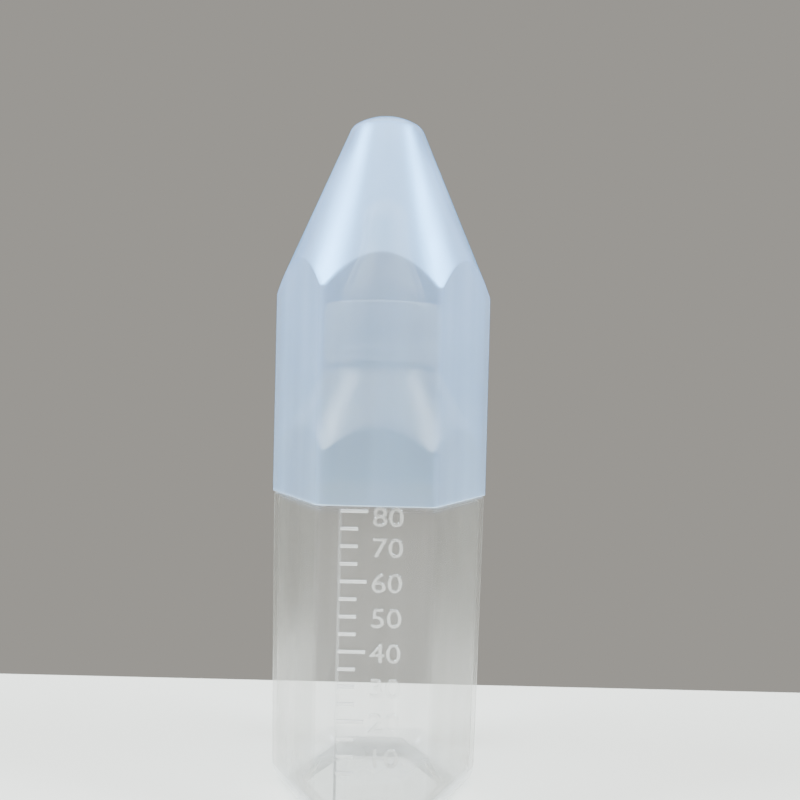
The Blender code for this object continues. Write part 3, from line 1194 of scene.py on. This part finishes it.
    def lining(self) -> Piece:
        """Roll the inner skin, from the middle of the floor to the neck's rim.

        Returns:
            The skin.
        """
        hollow = self.base_apothem - self.foot_radius - self.standing_ring + self.wall
        raised = hollow - self.push_up_draft
        soft = 0.4 * MM
        floor_top = self.push_up + self.wall
        floor = [(0.0, floor_top), (raised / 2, floor_top)]
        floor += arc((raised - 2 * soft, floor_top - 2 * soft), 2 * soft, 90.0, 15.0, 3)
        floor += [(hollow, self.wall + soft), (hollow + soft, self.wall)]
        inner_foot = self.foot_radius - self.wall
        foot_centre = (self.base_apothem - self.foot_radius, self.foot_radius)
        floor += arc(foot_centre, inner_foot, -90.0, 0.0, 8)
        ceiling = self.ledge - self.wall
        inner_base = self.base_apothem - self.wall
        heights = np.linspace(self.foot_radius, ceiling - soft, 8)[1:]
        wall = [(inner_base + self.draft * z / self.ledge, z) for z in heights]
        inner_lap = self.lap_apothem - self.wall
        ledge = [
            (self.apothem - self.wall - soft, ceiling),
            (inner_lap + soft, ceiling),
            (inner_lap, ceiling + soft),
        ]
        bore = self.neck_radius - self.neck_wall
        bead_low = self.bead_top - self.bead_height
        throat = bead_low - self.throat_drop
        neck = [
            (bore, bead_low),
            (bore, (bead_low + self.rim) / 2),
            (bore, self.rim - soft),
            (bore + soft / 2, self.rim - soft / 4),
            (self.neck_radius - self.neck_wall / 2, self.rim),
        ]
        rings = [
            *flat_rings([*floor, *wall, *ledge], self.corner_radius - self.wall / 2),
            *self.shoulder(self.wall, ceiling + 2 * soft, throat),
            *round_rings(neck),
        ]
        return rolled_sheet("bottle_lining", rings)

    def build_shell(self) -> Piece:
        """Model the bottle as one closed shell.

        Returns:
            The bottle.
        """
        bottle = join("bottle_shell", [self.skin(), self.lining()])
        close_shell(bottle)
        settle(bottle)
        return bottle

    def build_thread(self) -> Piece:
        """Model the neck's thread.

        Returns:
            The thread.
        """
        ridge = Ridge(
            name="neck_thread",
            root=self.neck_radius,
            depth=self.thread_depth,
            turns=self.thread_turns,
            pitch=self.thread_pitch,
            start=self.thread_start,
            lead=0.0,
        )
        return ridge.build()

    def pieces(self) -> list[tuple[Piece, HazyPlastic]]:
        """Build the bottle's shell and thread."""
        return [(self.build_shell(), BODY_FINISH), (self.build_thread(), THICK_AND_TOPLIT_FINISH)]

    def is_thick_or_toplit(self, face: bpy.types.MeshPolygon) -> bool:
        """Say whether a face of the shell is on the sloped shoulder cone, the neck or the foot.

        Args:
            face: The face.

        Returns:
            True on those: on the neck and foot the wall is thicker, and the shoulder cone gets painted
                top light.
        """
        # The sloped shoulder faces are paler as painted top light, not because the wall is thicker
        # there.
        sloped = abs(face.normal.z) > math.sin(self.shoulder_angle) / 2
        on_cone = sloped and face.center.z > self.ledge + self.lap / 2
        on_neck = face.center.z > self.bead_top - self.bead_height
        on_foot = face.center.z < self.foot_radius
        return on_cone or on_neck or on_foot

    def is_floor(self, face: bpy.types.MeshPolygon) -> bool:
        """Say whether a face of the shell is on the raised floor or its side wall."""
        reach = self.base_apothem - self.foot_radius
        return face.center.xy.length < reach and face.center.z < self.push_up + 2 * self.wall

    def make(self, wardrobe: Wardrobe) -> list[Piece]:
        """Build and dress the bottle, paler where its wall is thick, with painted top light on its
        shoulder cone and painted light on its raised floor.

        Args:
            wardrobe: What dresses it.

        Returns:
            The finished shell and thread.
        """
        made = super().make(wardrobe)
        # Painted top light on the shoulder cone, and the denser look of the thicker neck and foot.
        wardrobe.dress_faces(made[0], THICK_AND_TOPLIT_FINISH, self.is_thick_or_toplit)
        # Painted light on the raised floor, lifting the shade under the bottle.
        wardrobe.dress_faces(made[0], FLOOR_LIFTED_SHADE_FINISH, self.is_floor)
        return made


@dataclass
class Scale(SubAssembly):
    """The filling scale that stands up from the front flat: a rib, its marks and their numbers."""

    node = "bottle"
    body = Body.BOTTLE
    bottle: Bottle
    rib_offset: float = 7.35 * MM
    rib_width: float = 0.6 * MM
    rib_raise: float = 0.22 * MM
    rib_start: float = 5.9 * MM
    mark_raise: float = 0.22 * MM
    mark_width: float = 0.72 * MM
    short_mark: float = 3.7 * MM
    long_mark: float = 5.7 * MM
    sunk: float = 0.3 * MM
    first_ml: int = 5
    last_ml: int = 80
    step_ml: int = 5
    long_ml: int = 20
    numbered_ml: int = 10
    first_height: float = 11.85 * MM
    figure_height: float = 4.15 * MM
    figure_centre: float = 2.5 * MM
    figure_raise: float = 0.2 * MM
    figure_width: float = 1.18  # how much wider the numbers are than plain type
    figure_drop: float = 0.4 * MM
    top_figure_drop: float = 1.3 * MM
    rib_soft: float = 0.16 * MM
    mark_soft: float = 0.2 * MM
    stroke_soft: float = 0.12 * MM
    stroke_thinning: float = 0.072 * MM
    type_height: float = 0.73  # height of a number as a share of the type's size

    def step(self) -> float:
        """Give the rise of the liquid for one mark."""
        body = self.bottle
        apothem = (body.apothem + body.base_apothem) / 2 - body.wall
        return self.step_ml * 1e-6 / (2 * math.sqrt(3) * apothem**2)

    def heights(self) -> dict[int, float]:
        """Give each mark's height by its volume in millilitres."""
        volumes = range(self.first_ml, self.last_ml + 1, self.step_ml)
        return {ml: self.first_height + i * self.step() for i, ml in enumerate(volumes)}

    def facet(self) -> Matrix:
        """Give the place of the front flat: X across it, Y into it, Z up it."""
        lean = math.atan(self.bottle.draft / self.bottle.ledge)
        return Matrix.Translation((0, -self.bottle.base_apothem, 0)) @ Matrix.Rotation(lean, 4, "X")

    def bar(self, name: str, low: Vector, high: Vector, soft: float) -> Piece:
        """Model a bar with soft edges, half sunk into the flat.

        Args:
            name: Name of the bar.
            low: Its lowest corner, in the flat's own axes.
            high: Its highest corner.
            soft: Radius of its edges.

        Returns:
            The bar.
        """
        deselect_all()
        bpy.ops.mesh.primitive_cube_add(size=1.0, location=(low + high) / 2, scale=high - low)
        bar = bpy.context.active_object
        bar.name = name
        bpy.ops.object.transform_apply(location=True, rotation=True, scale=True)
        with editing(bar, "EDGE"):
            select_edges(bar, lambda edge: all(vert.co.y < 0 for vert in edge.verts))
            bpy.ops.mesh.bevel(offset=soft, segments=4, affect="EDGES")
        bar.data.transform(self.facet())
        return bar

    def build_rib(self) -> Piece:
        """Model the upright rib that the marks start from.

        Returns:
            The rib.
        """
        top = max(self.heights().values()) + self.mark_width / 2
        low = Vector((-self.rib_offset - self.rib_width / 2, -self.rib_raise, self.rib_start))
        high = Vector((-self.rib_offset + self.rib_width / 2, self.sunk, top))
        rib = self.bar("scale_rib", low, high, self.rib_soft)
        settle(rib, EDGE_ANGLE)
        return rib

    def build_marks(self) -> Piece:
        """Model the marks.

        Returns:
            The marks as one piece.
        """
        bars = []
        for ml, height in self.heights().items():
            length = self.long_mark if ml % self.long_ml == 0 else self.short_mark
            low = Vector((-self.rib_offset, -self.mark_raise, height - self.mark_width / 2))
            high = Vector((-self.rib_offset + length, self.sunk, height + self.mark_width / 2))
            bars.append(self.bar(f"mark_{ml}", low, high, self.mark_soft))
        marks = join("scale_marks", bars)
        settle(marks, EDGE_ANGLE)
        return marks

    def figure(self, ml: int, height: float) -> Piece:
        """Model one number, with softly raised strokes.

        Args:
            ml: The number.
            height: Height of its middle.

        Returns:
            The number as a mesh on the front flat.
        """
        deselect_all()
        bpy.ops.object.text_add()
        text = bpy.context.active_object
        curve = text.data
        curve.body = str(ml)
        curve.align_x = "CENTER"
        curve.align_y = "CENTER"
        curve.size = self.figure_height / self.type_height
        curve.resolution_u = 4
        curve.bevel_depth = self.stroke_soft
        curve.bevel_resolution = 2
        curve.offset = -self.stroke_thinning
        curve.extrude = (self.figure_raise + self.sunk) / 2 - self.stroke_soft
        bpy.ops.object.convert(target="MESH")
        figure = bpy.context.active_object
        figure.name = f"figure_{ml}"
        raise_out = (self.figure_raise - self.sunk) / 2
        place = Matrix.Translation((self.figure_centre, -raise_out, height))
        upright = Matrix.Rotation(math.pi / 2, 4, "X")
        widen = Matrix.Diagonal((self.figure_width, 1.0, 1.0, 1.0))
        figure.data.transform(self.facet() @ place @ upright @ widen)
        return figure

    def build_figures(self) -> Piece:
        """Model the numbers.

        Returns:
            The numbers as one piece.
        """
        figures = []
        for ml, height in self.heights().items():
            if ml % self.numbered_ml:
                continue
            drop = self.top_figure_drop if ml == self.last_ml else self.figure_drop
            figures.append(self.figure(ml, height - drop))
        joined = join("scale_figures", figures)
        close_shell(joined, FINE_MERGE)
        settle(joined, EDGE_ANGLE)
        return joined

    def pieces(self) -> list[tuple[Piece, HazyPlastic]]:
        """Build the rib, the marks and the numbers.

        Returns:
            Each piece with its finish.
        """
        return [
            (self.build_rib(), THICK_AND_TOPLIT_FINISH),
            (self.build_marks(), MARK_FINISH),
            (self.build_figures(), FIGURE_FINISH),
        ]


@dataclass
class Collar(SubAssembly):
    """The screw collar: a fluted ring with a thread inside and a plate that holds the teat down."""

    node = "screw_collar"
    body = Body.COLLAR
    bottom: float = field(init=False)
    top: float = field(init=False)
    radius: float = field(init=False)
    bore: float = field(init=False)
    bottle: Bottle
    wall: float = 1.0 * MM
    plate: float = 1.2 * MM
    hole_radius: float = 9.9 * MM
    chamfer: float = 0.6 * MM
    flutes: int = 48
    flute_depth: float = 0.35 * MM
    flute_columns: int = 6
    thread_depth: float = 1.0 * MM
    thread_turns: float = 1.0
    thread_lead: float = 0.25
    edge_soft: float = 0.2 * MM
    plain_foot: float = 1.1 * MM
    plain_top: float = 1.5 * MM

    def __post_init__(self) -> None:
        """Read the collar's place from the frame."""
        low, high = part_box(self.node)
        self.bottom = low.z
        self.top = high.z
        self.radius = (high.x - low.x) / 2 - self.flute_depth
        self.bore = self.radius - self.wall

    def build_ring(self) -> Piece:
        """Model the collar as a solid drum that is hollowed from below and pierced through its plate.

        Returns:
            The collar.
        """
        deselect_all()
        columns = self.flutes * self.flute_columns
        bpy.ops.mesh.primitive_cylinder_add(
            vertices=columns,
            radius=self.radius,
            depth=self.top - self.bottom,
            location=(0, 0, (self.top + self.bottom) / 2),
        )
        collar = bpy.context.active_object
        collar.name = "collar_ring"
        bpy.ops.object.transform_apply(location=True, rotation=True, scale=True)
        ceiling = self.top - self.plate
        near = 0.05 * MM
        with editing(collar):
            select_faces(collar, lambda f: f.normal.z < -0.9)
            bpy.ops.mesh.inset(thickness=self.wall)
            bpy.ops.mesh.extrude_region_move(
                TRANSFORM_OT_translate={"value": (0, 0, ceiling - self.bottom)}
            )
            bpy.ops.mesh.inset(thickness=self.bore - self.hole_radius)
            bpy.ops.mesh.delete(type="FACE")
            top = self.top - near
            select_faces(collar, lambda f: f.normal.z > 0.9 and f.calc_center_median().z > top)
            bpy.ops.mesh.inset(thickness=self.radius - self.hole_radius)
            bpy.ops.mesh.delete(type="FACE")
            bpy.ops.mesh.select_mode(type="EDGE")
            select_edges(collar, lambda e: e.is_boundary)
            bpy.ops.mesh.bridge_edge_loops()
            bpy.ops.mesh.select_all(action="SELECT")
            bpy.ops.mesh.normals_make_consistent(inside=False)
            select_edges(collar, lambda e: self.on_circle(e, self.radius, self.top))
            bpy.ops.mesh.bevel(offset=self.chamfer, segments=4, affect="EDGES")
            select_edges(
                collar,
                lambda e: self.on_circle(e, self.radius, self.bottom)
                or self.on_circle(e, self.bore, self.bottom)
                or self.on_circle(e, self.hole_radius, self.top)
                or self.on_circle(e, self.hole_radius, ceiling),
            )
            bpy.ops.mesh.bevel(offset=self.edge_soft, segments=3, affect="EDGES")
            for height in (self.bottom + self.plain_foot, self.top - self.plain_top):
                bpy.ops.mesh.select_all(action="SELECT")
                bpy.ops.mesh.bisect(plane_co=(0, 0, height), plane_no=(0, 0, 1))
        self.cut_flutes(collar)
        settle(collar, EDGE_ANGLE)
        return collar

    @staticmethod
    def on_circle(edge: bmesh.types.BMEdge, radius: float, height: float) -> bool:
        """Say whether an edge lies on a circle round the axis.

        Args:
            edge: The edge.
            radius: The circle's radius.
            height: The circle's height.

        Returns:
            True where both of its ends do.
        """
        near = 0.03 * MM
        return all(
            abs(v.co.z - height) < near and abs(v.co.xy.length - radius) < near for v in edge.verts
        )

    def cut_flutes(self, collar: Piece) -> None:
        """Draw the outer wall out into rounded flutes.

        Args:
            collar: The plain collar.
        """
        near = 0.1 * MM
        low, high = self.bottom + self.plain_foot - near, self.top - self.plain_top + near
        for vert in collar.data.vertices:
            radius = vert.co.xy.length
            if low < vert.co.z < high and radius > self.radius - self.wall / 2:
                azimuth = math.atan2(vert.co.y, vert.co.x)
                share = 0.5 + 0.5 * math.cos(self.flutes * azimuth)
                vert.co.xy *= 1 + self.flute_depth * share / radius

    def build_thread(self) -> Piece:
        """Model the collar's thread, half a pitch below the neck's, so that each runs in a groove.

        Returns:
            The thread.
        """
        pitch = self.bottle.thread_pitch
        ridge = Ridge(
            name="collar_thread",
            root=self.bore,
            depth=-self.thread_depth,
            turns=self.thread_turns,
            pitch=pitch,
            start=self.bottle.thread_start + (self.thread_lead - 0.5) * pitch,
            lead=self.thread_lead,
        )
        return ridge.build()

    def pieces(self) -> list[tuple[Piece, HazyPlastic]]:
        """Build the collar's ring and thread."""
        return [(self.build_ring(), COLLAR_FINISH), (self.build_thread(), COLLAR_FINISH)]


@dataclass
class Teat(SubAssembly):
    """The hollow teat: a plug and flange, a bell, and a nipple with a feed hole."""

    node = "teat"
    body = Body.TEAT
    seat: float = field(init=False)
    flange_radius: float = field(init=False)
    flange: float = 1.5 * MM
    wall: float = 1.3 * MM
    plug_depth: float = 1.6 * MM
    plug_radius: float = 9.2 * MM
    bell_radius: float = 9.6 * MM
    bell_foot: float = 3.3 * MM
    nipple_radius: float = 5.2 * MM
    nipple_length: float = 8.9 * MM
    hole_radius: float = 0.6 * MM
    length: float = 27.0 * MM

    def __post_init__(self) -> None:
        """Read the teat's place from the frame."""
        low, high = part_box(self.node)
        self.seat = low.z + self.plug_depth
        self.flange_radius = (high.x - low.x) / 2

    @staticmethod
    def swell(start: tuple[float, float], end: tuple[float, float], steps: int) -> Profile:
        """List points on a smooth S between two points of a profile that both run upright.

        Args:
            start: First radius and height.
            end: Last radius and height.
            steps: Number of chords.

        Returns:
            Points of radius and height.
        """
        wider, taller = end[0] - start[0], end[1] - start[1]
        points = []
        for share in np.linspace(0.0, 1.0, steps + 1):
            eased = share * share * (3 - 2 * share)
            points.append((start[0] + wider * eased, start[1] + taller * share))
        return points

    def build_bell(self) -> Piece:
        """Model the teat by spinning its section.

        Returns:
            The teat.
        """
        soft = 0.3 * MM
        tip_centre = self.length - self.nipple_radius
        bell_top = self.length - self.nipple_length
        hole_turn = math.degrees(math.acos(self.hole_radius / self.nipple_radius))
        inner_nipple = self.nipple_radius - self.wall
        inner_turn = math.degrees(math.acos(self.hole_radius / inner_nipple))
        inner_radius = self.plug_radius - self.wall
        outside = [
            *arc((0, tip_centre), self.nipple_radius, hole_turn, 0.0, 12),
            *self.swell((self.nipple_radius, bell_top), (self.bell_radius, self.bell_foot), 20),
            (self.bell_radius, self.flange + soft),
            (self.bell_radius + soft / 3, self.flange + soft / 3),
            *arc((self.flange_radius - soft, self.flange - soft), soft, 90.0, 0.0, 3),
            *arc((self.flange_radius - soft, soft), soft, 0.0, -90.0, 3),
            (self.plug_radius, 0.0),
            *arc((self.plug_radius - soft, soft - self.plug_depth), soft, 0.0, -90.0, 3),
        ]
        inside = [
            *arc((inner_radius + soft, soft - self.plug_depth), soft, 270.0, 180.0, 3),
            *self.swell((inner_radius, self.bell_foot), (inner_nipple, bell_top), 20),
            *arc((0, tip_centre), inner_nipple, 0.0, inner_turn, 10),
        ]
        profile = [(r, z + self.seat) for r, z in [*outside, *inside]]
        teat = spun("teat_bell", profile, 96)
        settle(teat, EDGE_ANGLE)
        return teat

    def pieces(self) -> list[tuple[Piece, HazyPlastic]]:
        """Build the teat."""
        return [(self.build_bell(), TEAT_FINISH)]


# ---------------------------------------------------------------------------------------------
# Studio
# ---------------------------------------------------------------------------------------------


@dataclass(frozen=True)
class SoftBox:
    """A soft area light that faces a point on the bottle's axis.

    Attributes:
        name: Name of the light.
        azimuth: Degrees from -Y, towards +X.
        elevation: Degrees above the horizon.
        distance: Metres from the target.
        size: Width and height in metres.
        power: Watts.
        colour: Colour of its light.
        target: Height that it faces.
    """

    name: str
    azimuth: float
    elevation: float
    distance: float
    size: tuple[float, float]
    power: float
    colour: tuple[float, float, float] = (1.0, 1.0, 1.0)
    target: float = 0.1

    def build(self) -> None:
        """Hang the light."""
        light = bpy.data.lights.new(self.name, "AREA")
        light.shape = "RECTANGLE"
        light.size, light.size_y = self.size
        light.energy = self.power
        light.color = self.colour
        lamp = bpy.data.objects.new(self.name, light)
        bpy.context.scene.collection.objects.link(lamp)
        azimuth, elevation = math.radians(self.azimuth), math.radians(self.elevation)
        away = Vector(
            (
                math.sin(azimuth) * math.cos(elevation),
                -math.cos(azimuth) * math.cos(elevation),
                math.sin(elevation),
            )
        )
        lamp.location = Vector((0, 0, self.target)) + self.distance * away
        lamp.rotation_euler = away.to_track_quat("Z", "Y").to_euler()
        lamp.visible_camera = False


@dataclass
class Studio:
    """A pale table, soft light and the camera."""

    table_width: float = 1.2
    table_front: float = -0.7
    table_back: float = 0.065
    table_thickness: float = 0.02
    room: tuple[float, float, float] = (0.36, 0.345, 0.315)
    room_strength: float = 1.0
    eye: tuple[float, float, float] = (0.0043, -0.1881, 0.0930)
    tilt_down: float = 0.021
    roll: float = 0.024
    lens: float = 36.8
    lights: tuple[SoftBox, ...] = (
        SoftBox("left_strip", -80, 42, 0.55, (0.2, 0.3), 9.0, (0.74, 0.88, 1.0)),
        SoftBox("right_strip", 80, 42, 0.55, (0.2, 0.3), 8.0, (0.74, 0.88, 1.0)),
        SoftBox("overhead", 0, 78, 0.7, (0.7, 0.7), 9.0),
    )

    def build_table(self) -> None:
        """Lay the pale table that the bottle stands on."""
        deselect_all()
        depth = self.table_back - self.table_front
        middle = (self.table_back + self.table_front) / 2
        bpy.ops.mesh.primitive_cube_add(
            size=1.0,
            location=(0, middle, -self.table_thickness / 2),
            scale=(self.table_width, depth, self.table_thickness),
        )
        table = bpy.context.active_object
        table.name = "table"
        bpy.ops.object.transform_apply(location=True, rotation=True, scale=True)
        with editing(table, "EDGE"):
            bpy.ops.mesh.select_all(action="SELECT")
            bpy.ops.mesh.bevel(offset=0.002, segments=3, affect="EDGES")
        settle(table)
        material = bpy.data.materials.new("pale_table")
        material.use_nodes = True
        graph = Graph(material.node_tree)
        shader = material.node_tree.nodes["Principled BSDF"]
        place = graph.node("ShaderNodeTexCoord")
        cloud = graph.noise(place.outputs["Object"], 9.0, detail=4.0)
        colour = graph.blend(graph.spread(cloud, 0.0, 1.0), (0.84, 0.80, 0.71), (0.79, 0.75, 0.66))
        graph.link(colour, shader.inputs["Base Color"])
        graph.link(graph.spread(cloud, 0.55, 0.7), shader.inputs["Roughness"])
        table.data.materials.append(material)

    def build_room(self) -> None:
        """Fill the room with plain, even light."""
        world = bpy.data.worlds.new("plain_room")
        world.use_nodes = True
        background = world.node_tree.nodes["Background"]
        background.inputs["Color"].default_value = (*self.room, 1.0)
        background.inputs["Strength"].default_value = self.room_strength
        bpy.context.scene.world = world

    def build_camera(self) -> None:
        """Stand the camera in front of the scale."""
        camera = bpy.data.cameras.new("camera")
        camera.sensor_width = 36.0
        camera.lens = self.lens
        camera.clip_start = 0.01
        rig = bpy.data.objects.new("camera", camera)
        bpy.context.scene.collection.objects.link(rig)
        rig.matrix_world = (
            Matrix.Translation(self.eye)
            @ Matrix.Rotation(math.pi / 2 - self.tilt_down, 4, "X")
            @ Matrix.Rotation(self.roll, 4, "Z")
        )
        bpy.context.scene.camera = rig

    def build(self) -> None:
        """Set up the studio."""
        self.build_table()
        self.build_room()
        for light in self.lights:
            light.build()
        self.build_camera()


# ---------------------------------------------------------------------------------------------
# Assembly
# ---------------------------------------------------------------------------------------------


def main() -> None:
    """Build the studio and every sub-assembly."""
    logging.basicConfig(level=logging.INFO, format="%(name)s: %(message)s")
    Studio().build()
    wardrobe = Wardrobe(moulded_surface_group(), {})
    bottle = Bottle()
    for sub_assembly in (bottle, Scale(bottle), Collar(bottle), Teat(), Cap()):
        for piece in sub_assembly.make(wardrobe):
            faces = len(piece.data.polygons)
            LOG.info("%s: %d faces, on %s", piece.name, faces, sub_assembly.body.value)


if __name__ == "__main__":
    main()
